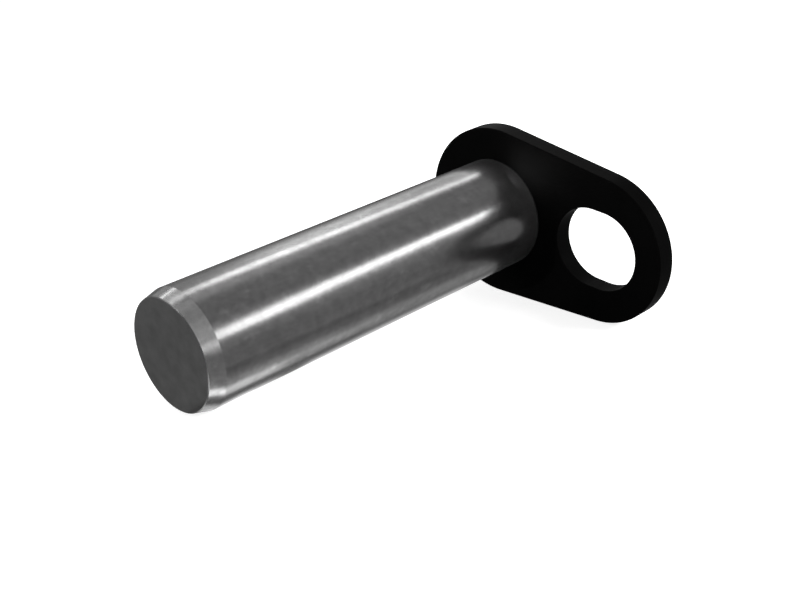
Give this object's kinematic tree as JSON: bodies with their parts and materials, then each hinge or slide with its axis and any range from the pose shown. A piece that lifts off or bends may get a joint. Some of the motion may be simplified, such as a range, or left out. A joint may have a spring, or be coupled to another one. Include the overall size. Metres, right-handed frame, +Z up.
{
  "type": "flag-head link pin",
  "caption": "Steel link pin with a tapered nose, welded to a flat black keeper plate that has a slotted hole.",
  "frame": {"origin": "on the pin's axis, in the plate's seating face", "axes": "-Y along the pin from the seating face to the nose, +X from the pin to the slot, +Z up across the plate"},
  "size_m": [0.115, 0.1708, 0.07],
  "materials": {
    "ground_steel": "turned and ground, satin, with faint lines along the axis",
    "black_paint": "satin black paint",
    "weld_metal": "weld bead under the same black paint"
  },
  "bodies": {
    "root": {"pin": "ground_steel", "flag_plate": "black_paint", "weld_bead": "weld_metal"}
  },
  "joints": []
}
